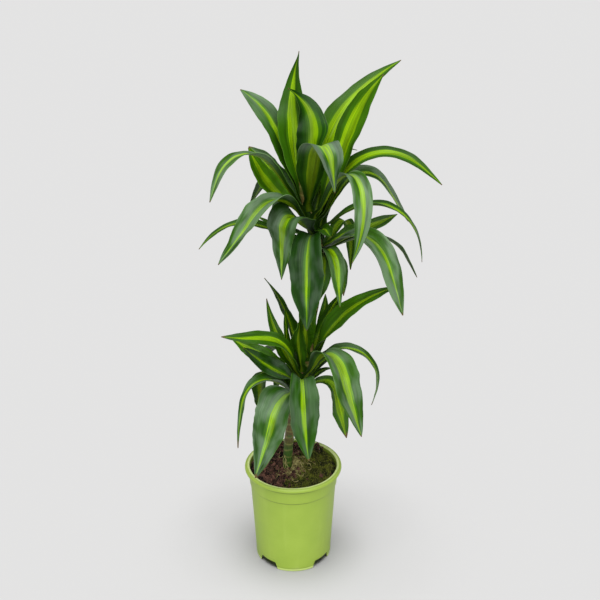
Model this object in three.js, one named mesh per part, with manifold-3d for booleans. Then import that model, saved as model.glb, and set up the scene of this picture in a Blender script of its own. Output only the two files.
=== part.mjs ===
// Potted corn plant: two leafy stems in a lime green nursery pot of soil.
// Millimetres, +Z up, -Y to the front. The origin is the middle of the pot's base, level with its feet.
import * as THREE from 'three';
import { mergeVertices } from 'three/addons/utils/BufferGeometryUtils.js';
import Module from 'manifold-3d';

const wasm = await Module();
wasm.setup();
const { degToRad, lerp, smoothstep } = THREE.MathUtils;

const gap = 0.3; // left between pieces that touch

// Pot: radii are of the outside; the middle of the floor stands on the surface, in a raised drain channel
const pot = {
  height: 180,
  rimRadius: 85,
  collarRadius: 78.2,
  collarBottomRadius: 76.8,
  bodyTopRadius: 75.2,
  hemTopRadius: 67.4,
  hemRadius: 67.8,
  baseRadius: 67.4,
  hemHeight: 5,
  collarBottom: 147,
  collarStep: 1.4,
  wall: 1.7,
  lipDepth: 6,
  lipRound: 4.2,
  lipFrom: -25,
  innerRound: 1.8,
  floorRadius: 42,
  floorThickness: 2.2,
  channelHeight: 13.5,
  sides: 48,
};
const feet = { count: 4, shift: 3.5, gapTop: 32.4, gapBottom: 41.4, cutDepth: 30 };
const drains = { count: 8, radius: 4, circle: 55, cutDepth: 9, sides: 12 };

// Soil: its level near the wall, how far its middle stands above that, how it slopes up to the back and
// how deep it falls away at the edge
const soil = { level: 170, crown: 5, slope: 0.05, edgeDrop: 4, clod: 2.4, sides: 40, rings: 9 };
const clodWaves = [[0.23, 0.19, 1.3], [0.11, -0.16, 0], [0.31, 0.27, 0.8]]; // x, y and start of each wave
// Heaps on the soil: x, y, height and radius of each
const heaps = [[-2, 4, 7, 28], [-24, 52, 12, 30], [44, 44, 9, 26], [10, 56, 8, 28]];

// Stems: points of the centre line, from the foot in the soil to the growing tip
const shortStem = {
  name: 'stem_short',
  radius: 8.5,
  bud: 34,
  scarStep: 9,
  points: [[-14, -8, 120], [-11, -8, 160], [-5, -7, 250], [12, -5, 322], [18, -5, 360], [27, -5, 405],
    [28, -4, 436]],
};
const tallStem = {
  name: 'stem_tall',
  radius: 8,
  bud: 52,
  scarStep: 14,
  points: [[29, 34, 120], [28, 36, 204], [19, 38, 325], [27, 36, 362], [32, 32, 439], [45, 22, 531],
    [43, 18, 566], [25, 10, 634], [18, 8, 668], [12, 8, 720]],
};
const stem = {
  sides: 12,
  scarDepth: 0.5,
  scarFoot: 0.8,
  budRadius: 1.2,
  budRings: [0.15, 0.5, 1],
  halvings: 30,
};

// Blades: cross-section and outline that all leaves share
const blade = {
  steps: 12,
  thickness: 0.9,
  footWidth: 11,
  tipWidth: 1.6,
  fullFrom: 0.75,
  foldAtFoot: 14,
  foldAtNeck: 34,
  foldAtTip: 9,
  neck: 0.16,
  flatFrom: 0.8,
  turned: 0.35,
  wave: 0.035,
  waves: 2.6,
  waveShift: 1.7,
};

// Leaves, one row each: height on the stem, turn round it from +X, rise at the foot, fall at
// the tip, place of the bend and half its reach as parts of the length, length, width, swerve, roll, part of
// the length at which the blade begins to narrow, and how bluntly it narrows. Degrees and millimetres.
const upperLeaves = [
  [644, 56, 81, 18, 0.80, 0.52, 190, 58, 176, -45, 0.42, 1.8],
  [639, 122, 65, 78, 0.32, 0.33, 240, 54, -112, 4, 0.46, 1.4],
  [610, 0, 72, 50, 0.75, 0.25, 250, 46, 0, 46, 0.60, 2.0],
  [632, 133, 62, 24, 0.70, 0.36, 227, 44, 18, -14, 0.60, 3.0],
  [636, 54, 70, 32, 0.46, 0.50, 286, 50, -60, 38, 0.45, 1.5],
  [638, -82, 62, -80, 0.62, 0.20, 212, 54, 48, 0, 0.50, 1.9],
  [622, 180, 36, 66, 0.44, 0.42, 142, 42, -12, -32, 0.50, 2.0],
  [614, 146, 48, 36, 0.70, 0.34, 154, 38, 10, -30, 0.60, 2.4],
  [630, -158, 55, -66, 0.58, 0.30, 236, 34, 20, 0, 0.64, 1.8],
  [608, -2, 64, -38, 0.53, 0.36, 264, 34, -28, 26, 0.45, 1.6],
  [618, 56, 62, -10, 0.72, 0.20, 150, 28, -40, 0, 0.60, 3.0],
  [606, 8, 58, -56, 0.46, 0.22, 226, 36, -2, 20, 0.60, 2.6],
  [619, -43, 56, -60, 0.42, 0.25, 266, 30, -110, 0, 0.58, 2.0],
  [609, -138, 47, -46, 0.36, 0.25, 220, 46, -16, 0, 0.60, 2.0],
  [606, 96, 58, 10, 0.55, 0.40, 250, 36, 12, 0, 0.46, 2.0],
  [598, -127, 34, -86, 0.40, 0.12, 168, 60, 0, -12, 0.36, 1.2],
  [592, -102, 20, -88, 0.20, 0.18, 190, 58, 2, 0, 0.45, 1.8],
  [585, 147, 6, 16, 0.50, 0.36, 112, 18, 0, 0, 0.46, 2.0],
  [598, -8, 40, -84, 0.51, 0.48, 230, 30, 0, 0, 0.72, 2.2],
  [582, 76, 44, -40, 0.55, 0.35, 270, 38, -10, 0, 0.46, 2.0],
  [572, 20, 16, 20, 0.60, 0.40, 136, 34, 0, 20, 0.50, 2.0],
  [575, 178, 19, -47, 0.63, 0.30, 202, 28, 10, -5, 0.60, 1.6],
  [570, 112, 36, -50, 0.50, 0.35, 240, 34, 10, 0, 0.46, 2.0],
  [568, -42, 32, -68, 0.41, 0.28, 232, 36, 0, 20, 0.56, 2.4],
  [565, 20, 14, -60, 0.48, 0.36, 209, 32, -4, 0, 0.50, 1.6],
  [566, -70, 20, -80, 0.36, 0.28, 134, 28, 10, 4, 0.46, 1.6],
  [560, -88, 12, -70, 0.24, 0.20, 104, 38, -60, 0, 0.50, 1.8],
  [552, -54, 24, -90, 0.40, 0.24, 106, 14, 0, 0, 0.56, 2.4],
  [594, 124, 46, -50, 0.50, 0.32, 235, 36, 8, 0, 0.46, 2.0],
  [554, 92, 26, -66, 0.45, 0.30, 215, 36, -6, 0, 0.50, 2.0],
  [560, 60, 30, -88, 0.45, 0.25, 190, 28, 0, 0, 0.46, 1.8],
  [594, -66, 38, -20, 0.50, 0.30, 54, 24, 0, 20, 0.50, 2.0],
];
const lowerLeaves = [
  [395, -105, 76, 82, 0.55, 0.32, 74, 28, -24, 8, 0.60, 3.0],
  [394, 170, 78, 84, 0.50, 0.40, 54, 16, 0, 0, 0.46, 2.0],
  [368, -122, 74, 83, 0.55, 0.40, 106, 26, 132, -4, 0.46, 1.4],
  [383, 86, 67, 92, 0.36, 0.50, 106, 30, -10, 8, 0.70, 2.6],
  [362, 125, 66, 42, 0.62, 0.42, 167, 32, 28, 20, 0.46, 1.4],
  [389, -25, 59, 16, 0.64, 0.50, 203, 42, 24, 42, 0.42, 1.2],
  [372, 34, 67, 50, 0.55, 0.30, 136, 26, 0, 8, 0.50, 2.0],
  [358, 160, 58, 88, 0.30, 0.32, 115, 18, -38, 0, 0.46, 1.2],
  [351, -143, 70, 10, 0.41, 0.30, 186, 30, -28, -40, 0.50, 1.8],
  [356, -9, 58, -106, 0.46, 0.48, 214, 26, -20, 0, 0.46, 1.6],
  [348, 151, 58, 66, 0.60, 0.40, 143, 32, -42, -30, 0.36, 0.9],
  [352, -54, 52, -63, 0.38, 0.19, 233, 54, 4, -3, 0.58, 2.0],
  [336, -90, 40, -67, 0.33, 0.16, 196, 50, 26, -6, 0.62, 1.8],
  [342, -173, 32, 44, 0.48, 0.40, 112, 36, 2, -44, 0.46, 1.8],
  [340, 120, 38, -56, 0.46, 0.35, 160, 34, 8, 0, 0.46, 2.0],
  [336, 51, 24, -60, 0.46, 0.34, 175, 28, -4, 5, 0.46, 2.0],
  [330, -118, 12, -58, 0.28, 0.24, 186, 70, -13, 0, 0.44, 1.7],
  [335, 164, 35, 28, 0.52, 0.40, 135, 40, -2, -28, 0.46, 1.8],
  [332, 7, 17, -76, 0.22, 0.14, 152, 34, -36, 50, 0.60, 1.6],
  [321, -165, 38, -75, 0.35, 0.27, 194, 38, 83, -2, 0.30, 0.45],
  [329, 44, 23, -16, 0.61, 0.35, 72, 16, 3, 0, 0.46, 2.0],
  [316, 142, 24, -82, 0.42, 0.16, 152, 44, 0, 0, 0.50, 2.0],
  [328, 112, 15, -73, 0.42, 0.28, 159, 24, 14, 0, 0.46, 2.0],
  [351, 42, 62, 88, 0.66, 0.45, 142, 24, 42, 26, 0.50, 2.0],
];

const plant = new THREE.Group();

// Profiles are turned round Y, and then stood up so that their axis is +Z
const toUp = (geometry) => geometry.rotateX(Math.PI / 2);

function addPiece(name, geometry, color, roughness) {
  const material = new THREE.MeshStandardMaterial({ color, roughness, metalness: 0 });
  const mesh = new THREE.Mesh(geometry, material);
  mesh.name = name;
  plant.add(mesh);
}

function toSolid(geometry) {
  const bare = geometry.clone();
  bare.deleteAttribute('normal');
  bare.deleteAttribute('uv');
  const merged = mergeVertices(bare);
  const vertProperties = new Float32Array(merged.attributes.position.array);
  const triVerts = new Uint32Array(merged.index.array);
  return new wasm.Manifold(new wasm.Mesh({ numProp: 3, vertProperties, triVerts }));
}

function toGeometry(solid) {
  const { vertProperties, triVerts } = solid.getMesh();
  const geometry = new THREE.BufferGeometry();
  geometry.setAttribute('position', new THREE.BufferAttribute(new Float32Array(vertProperties), 3));
  geometry.setIndex(new THREE.BufferAttribute(new Uint32Array(triVerts), 1));
  return geometry;
}

// A closed body through rings of points, all with the same count and all turning the same way
function loft(rings) {
  const count = rings[0].length;
  const index = [];
  for (let r = 0; r < rings.length - 1; r += 1) {
    for (let k = 0; k < count; k += 1) {
      const a = r * count + k;
      const b = r * count + (k + 1) % count;
      index.push(a, b, a + count, b, b + count, a + count);
    }
  }
  const last = (rings.length - 1) * count;
  for (let k = 1; k < count - 1; k += 1) {
    index.push(0, k + 1, k, last, last + k, last + k + 1);
  }
  const geometry = new THREE.BufferGeometry().setFromPoints(rings.flat());
  geometry.setIndex(index);
  return geometry;
}

// Points of a part circle in a profile, from one angle to another in degrees
function arc(radius, height, round, from, to, steps) {
  const points = [];
  for (let k = 0; k <= steps; k += 1) {
    const angle = degToRad(lerp(from, to, k / steps));
    points.push([radius + round * Math.cos(angle), height + round * Math.sin(angle)]);
  }
  return points;
}

function turned(profile, sides) {
  return toUp(new THREE.LatheGeometry(profile.map(([radius, z]) => new THREE.Vector2(radius, z)), sides));
}

// The line inside the pot's floor, channel and wall up to the collar, moved in by an offset
function innerLine(offset) {
  const channelTop = pot.channelHeight + pot.floorThickness + offset;
  const slope = (pot.bodyTopRadius - pot.hemTopRadius) / (pot.collarBottom - pot.hemHeight);
  return [
    [0, pot.floorThickness + offset],
    [pot.floorRadius - offset, pot.floorThickness + offset],
    [pot.floorRadius + pot.wall - offset, channelTop],
    [pot.hemTopRadius - pot.wall - offset + slope * (channelTop - pot.hemHeight), channelTop],
    [pot.bodyTopRadius - pot.wall - offset, pot.collarBottom],
  ];
}

function potSolid() {
  const lipBottom = pot.height - pot.lipDepth;
  const outerRound = [pot.rimRadius - pot.lipRound, pot.height - pot.lipRound, pot.lipRound];
  const innerRadius = pot.collarRadius - pot.wall;
  const innerRound = [innerRadius + pot.innerRound, pot.height - pot.innerRound, pot.innerRound];
  const profile = [
    [0, 0],
    [pot.floorRadius + pot.wall, 0],
    [pot.floorRadius + 2 * pot.wall, pot.channelHeight],
    [pot.baseRadius - pot.wall, pot.channelHeight],
    [pot.baseRadius - pot.wall, 0],
    [pot.baseRadius, 0],
    [pot.hemRadius, pot.hemHeight / 2],
    [pot.hemTopRadius, pot.hemHeight],
    [pot.bodyTopRadius, pot.collarBottom - pot.collarStep],
    [pot.collarBottomRadius, pot.collarBottom],
    [pot.collarRadius, lipBottom],
    ...arc(...outerRound, pot.lipFrom, 90, 5),
    ...arc(...innerRound, 90, 180, 3),
    ...innerLine(0).reverse(),
  ];
  let body = toSolid(turned(profile, pot.sides));

  const footGap = new THREE.Shape([
    new THREE.Vector2(-feet.gapBottom / 2, -1),
    new THREE.Vector2(feet.gapBottom / 2, -1),
    new THREE.Vector2(feet.gapTop / 2, pot.channelHeight),
    new THREE.Vector2(-feet.gapTop / 2, pot.channelHeight),
  ]);
  for (let k = 0; k < feet.count; k += 1) {
    const turn = degToRad(feet.shift) + ((k + 0.5) * 2 * Math.PI) / feet.count;
    const cutter = toUp(new THREE.ExtrudeGeometry(footGap, { depth: feet.cutDepth, bevelEnabled: false }));
    cutter.translate(0, pot.baseRadius + feet.cutDepth / 2, 0);
    cutter.rotateZ(turn);
    body = body.subtract(toSolid(cutter));
  }
  for (let k = 0; k < drains.count; k += 1) {
    const turn = ((k + 0.5) * 2 * Math.PI) / drains.count;
    const round = new THREE.CylinderGeometry(drains.radius, drains.radius, drains.cutDepth, drains.sides);
    const hole = toUp(round);
    hole.translate(drains.circle * Math.cos(turn), drains.circle * Math.sin(turn), pot.channelHeight);
    body = body.subtract(toSolid(hole));
  }
  return body;
}

function stemCurve(plan) {
  return new THREE.CatmullRomCurve3(plan.points.map((point) => new THREE.Vector3(...point)));
}

// Where the stem's centre line passes a height
function stemCentre(curve, height) {
  let low = 0;
  let high = 1;
  for (let k = 0; k < stem.halvings; k += 1) {
    const middle = (low + high) / 2;
    if (curve.getPoint(middle).z < height) {
      low = middle;
    } else {
      high = middle;
    }
  }
  return curve.getPoint(low);
}

// A stem as rings across its centre line, stepped at the leaf scars and drawn to a bud, made thicker by swell
function stemGeometry(plan, swell = 0) {
  const curve = stemCurve(plan);
  const foot = plan.points[0][2];
  const top = plan.points.at(-1)[2];
  const budFoot = top - plan.bud;
  const neck = plan.radius - stem.scarDepth;
  const rings = [];
  const addRing = (z, radius) => {
    const centre = stemCentre(curve, z);
    const ring = [];
    for (let k = 0; k < stem.sides; k += 1) {
      const turn = (k * 2 * Math.PI) / stem.sides;
      const spoke = new THREE.Vector3(Math.cos(turn), Math.sin(turn), 0);
      ring.push(spoke.multiplyScalar(radius + swell).add(centre).setZ(z));
    }
    rings.push(ring);
  };
  for (let z = foot; z < budFoot; z += plan.scarStep) {
    addRing(z, plan.radius);
    addRing(z + plan.scarStep * stem.scarFoot, neck);
  }
  for (const part of stem.budRings) {
    addRing(lerp(budFoot, top, part), lerp(neck, stem.budRadius, part));
  }
  return loft(rings);
}

// Unevenness of the soil: clods all over, and heaps
function soilRise(x, y) {
  let rise = soil.slope * y;
  for (const [alongX, alongY, start] of clodWaves) {
    rise += (soil.clod * Math.sin(alongX * x + alongY * y + start)) / clodWaves.length;
  }
  for (const [heapX, heapY, height, radius] of heaps) {
    rise += height * (1 - smoothstep(Math.hypot(x - heapX, y - heapY), 0, radius));
  }
  return rise;
}

function soilSolid() {
  const profile = innerLine(gap);
  const edgeHeight = soil.level - soil.edgeDrop;
  const wallTop = pot.height - pot.innerRound;
  const climb = (edgeHeight - pot.collarBottom) / (wallTop - pot.collarBottom);
  const edgeRadius = lerp(profile.at(-1)[0], pot.collarRadius - pot.wall - gap, climb);
  profile.push([edgeRadius, edgeHeight]);
  for (let k = 1; k <= soil.rings; k += 1) {
    const part = 1 - k / (soil.rings + 1);
    profile.push([edgeRadius * part, soil.level + soil.crown * (1 - part * part)]);
  }
  profile.push([0, soil.level + soil.crown]);
  const geometry = turned(profile, soil.sides);
  const place = geometry.attributes.position;
  for (let k = 0; k < place.count; k += 1) {
    if (place.getZ(k) > soil.level) {
      place.setZ(k, place.getZ(k) + soilRise(place.getX(k), place.getY(k)));
    }
  }
  let body = toSolid(geometry);
  for (const plan of [shortStem, tallStem]) {
    body = body.subtract(toSolid(stemGeometry(plan, gap)));
  }
  return body;
}

// Half the width of a blade, a part of the way along it
function halfWidth(width, widest, taper, part) {
  if (part < widest) {
    return lerp(blade.footWidth, width, smoothstep(part, 0, blade.fullFrom * widest)) / 2;
  }
  const rest = (part - widest) / (1 - widest);
  return lerp(blade.tipWidth, width, 1 - rest ** taper) / 2;
}

// How far the halves of a blade are folded up from flat, in degrees
function foldAngle(part) {
  if (part < blade.neck) {
    return lerp(blade.foldAtFoot, blade.foldAtNeck, part / blade.neck);
  }
  return lerp(blade.foldAtNeck, blade.foldAtTip, smoothstep(part, blade.neck, blade.flatFrom));
}

function leafGeometry(plan, row, number) {
  const [height, turn, rise, fall, bend, reach, length, width, swerve, roll, widest, taper] = row;
  const start = degToRad(turn);
  const place = stemCentre(stemCurve(plan), height);
  const out = plan.radius + gap + (blade.thickness / 2) * Math.sin(degToRad(rise));
  place.add(new THREE.Vector3(Math.cos(start) * out, Math.sin(start) * out, 0));
  const rings = [];
  for (let k = 0; k <= blade.steps; k += 1) {
    const part = k / blade.steps;
    const pitch = degToRad(lerp(rise, fall, smoothstep(part, bend - reach, bend + reach)));
    const heading = degToRad(turn + swerve * part * part);
    const along = new THREE.Vector3(
      Math.cos(pitch) * Math.cos(heading),
      Math.cos(pitch) * Math.sin(heading),
      Math.sin(pitch),
    );
    const side = new THREE.Vector3(Math.sin(heading), -Math.cos(heading), 0);
    side.applyAxisAngle(along, degToRad(roll * smoothstep(part, 0, blade.turned)));
    const face = new THREE.Vector3().crossVectors(side, along);
    const half = halfWidth(width, widest, taper, part);
    const fold = degToRad(foldAngle(part));
    const edges = [-1, 1].map((sign) => {
      const phase = 2 * Math.PI * blade.waves * part + number * blade.waveShift + sign;
      const wave = width * blade.wave * Math.sin(Math.PI * part) * Math.sin(phase);
      const lift = half * Math.sin(fold) + wave;
      return place.clone().addScaledVector(side, sign * half * Math.cos(fold)).addScaledVector(face, lift);
    });
    const up = face.clone().multiplyScalar(blade.thickness / 2);
    rings.push([
      edges[0].clone().add(up),
      edges[0].clone().sub(up),
      place.clone().sub(up),
      edges[1].clone().sub(up),
      edges[1].clone().add(up),
      place.clone().add(up),
    ]);
    place.addScaledVector(along, length / blade.steps);
  }
  return bladeLoft(rings);
}

// A blade through rings of six, split into triangles alike on its two faces
function bladeLoft(rings) {
  const count = rings[0].length;
  const index = [];
  const quad = (a, b, c, d, splitFromFirst) => {
    if (splitFromFirst) {
      index.push(a, c, b, a, d, c);
    } else {
      index.push(a, d, b, b, d, c);
    }
  };
  for (let r = 0; r < rings.length - 1; r += 1) {
    const at = (k) => r * count + (k % count);
    const next = (k) => at(k) + count;
    for (let k = 0; k < count; k += 1) {
      const upperFace = k === 4 || k === 5;
      quad(at(k), at(k + 1), next(k + 1), next(k), upperFace);
    }
  }
  const last = (rings.length - 1) * count;
  for (const [a, b, c] of [[0, 5, 1], [1, 5, 2], [2, 5, 3], [3, 5, 4]]) {
    index.push(a, c, b, last + a, last + b, last + c);
  }
  const geometry = new THREE.BufferGeometry().setFromPoints(rings.flat());
  geometry.setIndex(index);
  return geometry;
}

addPiece('pot', toGeometry(potSolid()), '#a3bf4f', 0.5);
addPiece('soil', toGeometry(soilSolid()), '#3a2a20', 0.95);
for (const plan of [shortStem, tallStem]) {
  addPiece(plan.name, stemGeometry(plan), '#8a8a4a', 0.7);
}
const rosettes = [['upper_leaf', tallStem, upperLeaves], ['lower_leaf', shortStem, lowerLeaves]];
for (const [name, plan, rows] of rosettes) {
  rows.forEach((row, k) => {
    const label = `${name}_${String(k + 1).padStart(2, '0')}`;
    addPiece(label, leafGeometry(plan, row, k), '#3f7a2a', 0.45);
  });
}

export default plant;
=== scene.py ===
import random
from math import asin, ceil, cos, exp, hypot, pi, radians, sin, sqrt

import bpy
from mathutils import Matrix, Vector, noise


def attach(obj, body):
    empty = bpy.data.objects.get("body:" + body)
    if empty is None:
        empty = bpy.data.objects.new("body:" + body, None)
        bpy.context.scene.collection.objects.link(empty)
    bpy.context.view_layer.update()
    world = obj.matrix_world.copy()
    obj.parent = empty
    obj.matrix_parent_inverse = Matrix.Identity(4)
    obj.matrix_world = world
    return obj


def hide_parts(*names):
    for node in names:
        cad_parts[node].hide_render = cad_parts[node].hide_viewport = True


# Potted corn plant: a finer pot, soil with moss and roots, ringed stems and striped leaves, in metres.
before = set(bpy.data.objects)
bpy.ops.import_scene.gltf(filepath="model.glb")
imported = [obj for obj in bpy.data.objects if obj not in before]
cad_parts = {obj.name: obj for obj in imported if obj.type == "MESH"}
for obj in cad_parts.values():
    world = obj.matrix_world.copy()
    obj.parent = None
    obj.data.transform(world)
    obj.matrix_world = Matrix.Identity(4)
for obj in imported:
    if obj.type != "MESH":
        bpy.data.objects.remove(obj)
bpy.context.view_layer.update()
print("frame loaded:", len(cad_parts), "nodes")

scene = bpy.context.scene
scene.view_settings.view_transform = "Standard"


view = {"place": (0.012, -1.2, 0.95), "pitch": 68.9, "lens": 47.58}
studio = {
    "floorSize": 600, "floorColour": (0.302, 0.30, 0.2995), "floorRoughness": 0.9,
    "backdrop": (0.768, 0.768, 0.768), "ambient": (0.95, 0.98, 1.0), "fill": 0.19, "mirrored": 0.10,
    "lamps": [
        # name, height over the horizon, turn from the front, width in degrees, strength
        ("key", 46, 0, 62, 2.62),
        ("top", 82, 0, 46, 1.58),
    ],
    "floorLamp": ("floorLight", 85, 0, 48, 7.50), "lampPlace": (0, -2, 3),
}


def addCamera():
    bpy.ops.object.camera_add(location=view["place"], rotation=(radians(view["pitch"]), 0, 0))
    camera = bpy.context.object
    camera.name = "camera"
    camera.data.lens = view["lens"]
    camera.data.dof.use_dof = False
    scene.camera = camera


def addLamp(name, height, turn, width, strength):
    turned = (radians(90 - height), 0, radians(turn))
    bpy.ops.object.light_add(type="SUN", location=studio["lampPlace"], rotation=turned)
    lamp = bpy.context.object
    lamp.name = name
    lamp.data.angle = radians(width)
    lamp.data.energy = strength
    return lamp


# A set of objects that a lamp lights, is stopped by or leaves out
def lampSet(name, pieces, state):
    group = bpy.data.collections.new(name)
    for piece in pieces:
        group.objects.link(piece)
    for entry in group.collection_objects:
        entry.light_linking.link_state = state
    return group


# The floor has a lamp of its own, which the pot and the leaves at its sides and back shade:
# the soft dark ring round the pot's foot. The other lamps leave the floor out
def addStudio(shaders):
    bpy.ops.mesh.primitive_plane_add(size=studio["floorSize"])
    floor = bpy.context.object
    floor.name = "floor"
    material, tree, shader = newMaterial("paleFloor")
    setShader(shader, (*studio["floorColour"], 1), studio["floorRoughness"], 0.0)
    floor.data.materials.append(material)
    for plan in studio["lamps"]:
        lamp = addLamp(*plan)
        lamp.light_linking.receiver_collection = lampSet("allButFloor", [floor], "EXCLUDE")
    lamp = addLamp(*studio["floorLamp"])
    lamp.light_linking.receiver_collection = lampSet("floorAlone", [floor], "INCLUDE")
    lamp.light_linking.blocker_collection = lampSet("floorShade", shaders, "INCLUDE")
    world = bpy.data.worlds.new("studioAir")
    world.use_nodes = True
    scene.world = world
    tree = world.node_tree
    tree.nodes.clear()
    rays = addNode(tree, "LightPath").outputs
    strength = rampUp(rays["Is Diffuse Ray"], 0.0, 1.0, studio["mirrored"], studio["fill"])
    lit = addNode(tree, "Background", {"Color": (*studio["ambient"], 1), "Strength": strength})
    seen = addNode(tree, "Background", {"Color": (*studio["backdrop"], 1), "Strength": 1.0})
    inputs = {0: rays["Is Camera Ray"], 1: lit.outputs[0], 2: seen.outputs[0]}
    mixed = addNode(tree, "MixShader", inputs)
    addNode(tree, "OutputWorld", {"Surface": mixed.outputs[0]})


def addNode(tree, kind, inputs=None, **settings):
    node = tree.nodes.new("ShaderNode" + kind)
    for key, value in settings.items():
        setattr(node, key, value)
    for key, value in (inputs or {}).items():
        if isinstance(value, bpy.types.NodeSocket):
            tree.links.new(value, node.inputs[key])
        else:
            node.inputs[key].default_value = value
    return node


# The node tree of the first value that is the output of a node
def treeOf(*values):
    return next(value.id_data for value in values if isinstance(value, bpy.types.NodeSocket))


def calc(operation, *values):
    return addNode(treeOf(*values), "Math", dict(enumerate(values)), operation=operation).outputs[0]


def times(first, second):
    return calc("MULTIPLY", first, second)


# A share from 0 to 1 turned into an offset of at most reach to either side
def centred(value, reach):
    return calc("MULTIPLY_ADD", value, 2 * reach, -reach)


def rampUp(value, low, high, start=0.0, end=1.0):
    inputs = {"Value": value, "From Min": low, "From Max": high, "To Min": start, "To Max": end}
    return addNode(treeOf(value), "MapRange", inputs, interpolation_type="SMOOTHSTEP").outputs[0]


def blend(factor, first, second, how="MIX"):
    inputs = {0: factor, 6: first, 7: second}
    node = addNode(treeOf(factor, first, second), "Mix", inputs, data_type="RGBA", blend_type=how)
    return node.outputs[2]


def grain(vector, scale, detail, roughness=0.5):
    inputs = {"Vector": vector, "Scale": scale, "Detail": detail, "Roughness": roughness}
    return addNode(treeOf(vector), "TexNoise", inputs).outputs["Fac"]


def objectPlace(tree):
    return addNode(tree, "TexCoord").outputs["Object"]


def stretched(place, share):
    return addNode(treeOf(place), "Mapping", {"Vector": place, "Scale": (1, 1, share)}).outputs[0]


def attribute(tree, name):
    return addNode(tree, "Attribute", attribute_name=name).outputs["Fac"]


def newMaterial(name):
    material = bpy.data.materials.new(name)
    material.use_nodes = True
    tree = material.node_tree
    return material, tree, tree.nodes["Principled BSDF"]


# Colour and roughness are each a value or the output of a node, shine is a value
def setShader(shader, colour, roughness, shine):
    tree = shader.id_data
    for key, value in (("Base Color", colour), ("Roughness", roughness)):
        if isinstance(value, bpy.types.NodeSocket):
            tree.links.new(value, shader.inputs[key])
        else:
            shader.inputs[key].default_value = value
    shader.inputs["Specular IOR Level"].default_value = shine


def addBump(shader, height, strength, distance):
    tree = shader.id_data
    bump = addNode(tree, "Bump", {"Height": height, "Strength": strength, "Distance": distance})
    tree.links.new(bump.outputs[0], shader.inputs["Normal"])


def newGroup(name, inputs, outputs):
    tree = bpy.data.node_groups.new(name, "ShaderNodeTree")
    for label, kind in inputs:
        tree.interface.new_socket(label, in_out="INPUT", socket_type=kind)
    for label, kind in outputs:
        tree.interface.new_socket(label, in_out="OUTPUT", socket_type=kind)
    return tree, tree.nodes.new("NodeGroupInput").outputs, tree.nodes.new("NodeGroupOutput")


def srgb(red, green, blue):
    parts = []
    for value in (red, green, blue):
        value = value / 255
        parts.append(value / 12.92 if value <= 0.04045 else ((value + 0.055) / 1.055) ** 2.4)
    return (*parts, 1)


def pick(piece):
    bpy.ops.object.select_all(action="DESELECT")
    piece.select_set(True)
    bpy.context.view_layer.objects.active = piece


def editAll(piece):
    pick(piece)
    bpy.ops.object.mode_set(mode="EDIT")
    bpy.ops.mesh.select_all(action="SELECT")


def applyModifier(piece, kind, **settings):
    pick(piece)
    bpy.ops.object.modifier_add(type=kind)
    modifier = piece.modifiers[-1]
    for key, value in settings.items():
        setattr(modifier, key, value)
    bpy.ops.object.modifier_apply(modifier=modifier.name)


# A grid bent into shape: place gives the point for each pair of shares across and along it
def bendGrid(name, across, along, place):
    bpy.ops.mesh.primitive_grid_add(x_subdivisions=across, y_subdivisions=along, size=1)
    piece = bpy.context.object
    piece.name = name
    shares = [(vertex.co.x + 0.5, vertex.co.y + 0.5) for vertex in piece.data.vertices]
    for vertex, (u, v) in zip(piece.data.vertices, shares):
        vertex.co = place(u, v)
    return piece, shares


def joinSeams(piece):
    editAll(piece)
    bpy.ops.mesh.remove_doubles(threshold=0.00001)
    bpy.ops.mesh.normals_make_consistent(inside=False)
    bpy.ops.object.mode_set(mode="OBJECT")


def smooth(piece, angle):
    pick(piece)
    bpy.ops.object.shade_smooth_by_angle(angle=radians(angle))


def finishPiece(piece, nodes=()):
    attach(piece, "root")
    if nodes:
        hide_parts(*nodes)


def setAttribute(piece, name, values):
    layer = piece.data.attributes.new(name, "FLOAT", "POINT")
    layer.data.foreach_set("value", values)


def lerp(first, second, part):
    return first + (second - first) * part


def ease(value, low, high):
    part = min(max((value - low) / (high - low), 0.0), 1.0)
    return part * part * (3 - 2 * part)


def outward(turn):
    return Vector((cos(turn), sin(turn), 0))


# A smooth curve through four points, where knots are further apart the further the points are
def curvePoint(before, first, second, after, part):
    pairs = ((before, first), (first, second), (second, after))
    left, step, right = [(b - a).length ** 0.5 for a, b in pairs]
    one = (first - before) / left - (second - before) / (left + step) + (second - first) / step
    two = (second - first) / step - (after - first) / (step + right) + (after - second) / right
    one *= step
    two *= step
    square = -3 * first + 3 * second - 2 * one - two
    cube = 2 * first - 2 * second + one + two
    return first + one * part + square * part ** 2 + cube * part ** 3


def alongPoints(points, share):
    reach = share * (len(points) - 1)
    k = min(int(reach), len(points) - 2)
    before = points[k - 1] if k > 0 else 2 * points[0] - points[1]
    after = points[k + 2] if k + 2 < len(points) else 2 * points[-1] - points[-2]
    return curvePoint(before, points[k], points[k + 1], after, reach - k)


pot = {
    "height": 0.180, "rimRadius": 0.085, "collarRadius": 0.0782, "collarBottomRadius": 0.0768,
    "bodyTopRadius": 0.0752, "hemTopRadius": 0.0674, "hemRadius": 0.0678, "baseRadius": 0.0674,
    "hemHeight": 0.005, "collarBottom": 0.147, "collarStep": 0.0014, "wall": 0.0017, "lipDepth": 0.006,
    "lipRound": 0.0042, "lipFrom": -25, "innerRound": 0.0018, "floorRadius": 0.042,
    "floorThickness": 0.0022, "channelHeight": 0.0135, "sides": 144, "longest": 0.012, "feet": 4,
    "feetShift": 3.5, "footGapTop": 0.0324, "footGapBottom": 0.0414, "cutDepth": 0.030,
    "cutBelow": 0.001, "drains": 8, "drainRadius": 0.004, "drainCircle": 0.055, "drainCut": 0.009,
    "softEdge": 0.0007, "bevel": 0.0004, "bevelAngle": 50, "smoothAngle": 35,
}
potColours = {
    "lime": srgb(160, 187, 68), "pale": srgb(172, 196, 84), "deep": srgb(153, 181, 62),
    # the colour of the painted highlights, that of the painted shade lines, and dust
    "paintedHighlight": srgb(222, 238, 158), "line": srgb(108, 130, 38), "dust": srgb(176, 172, 128),
}
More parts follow.
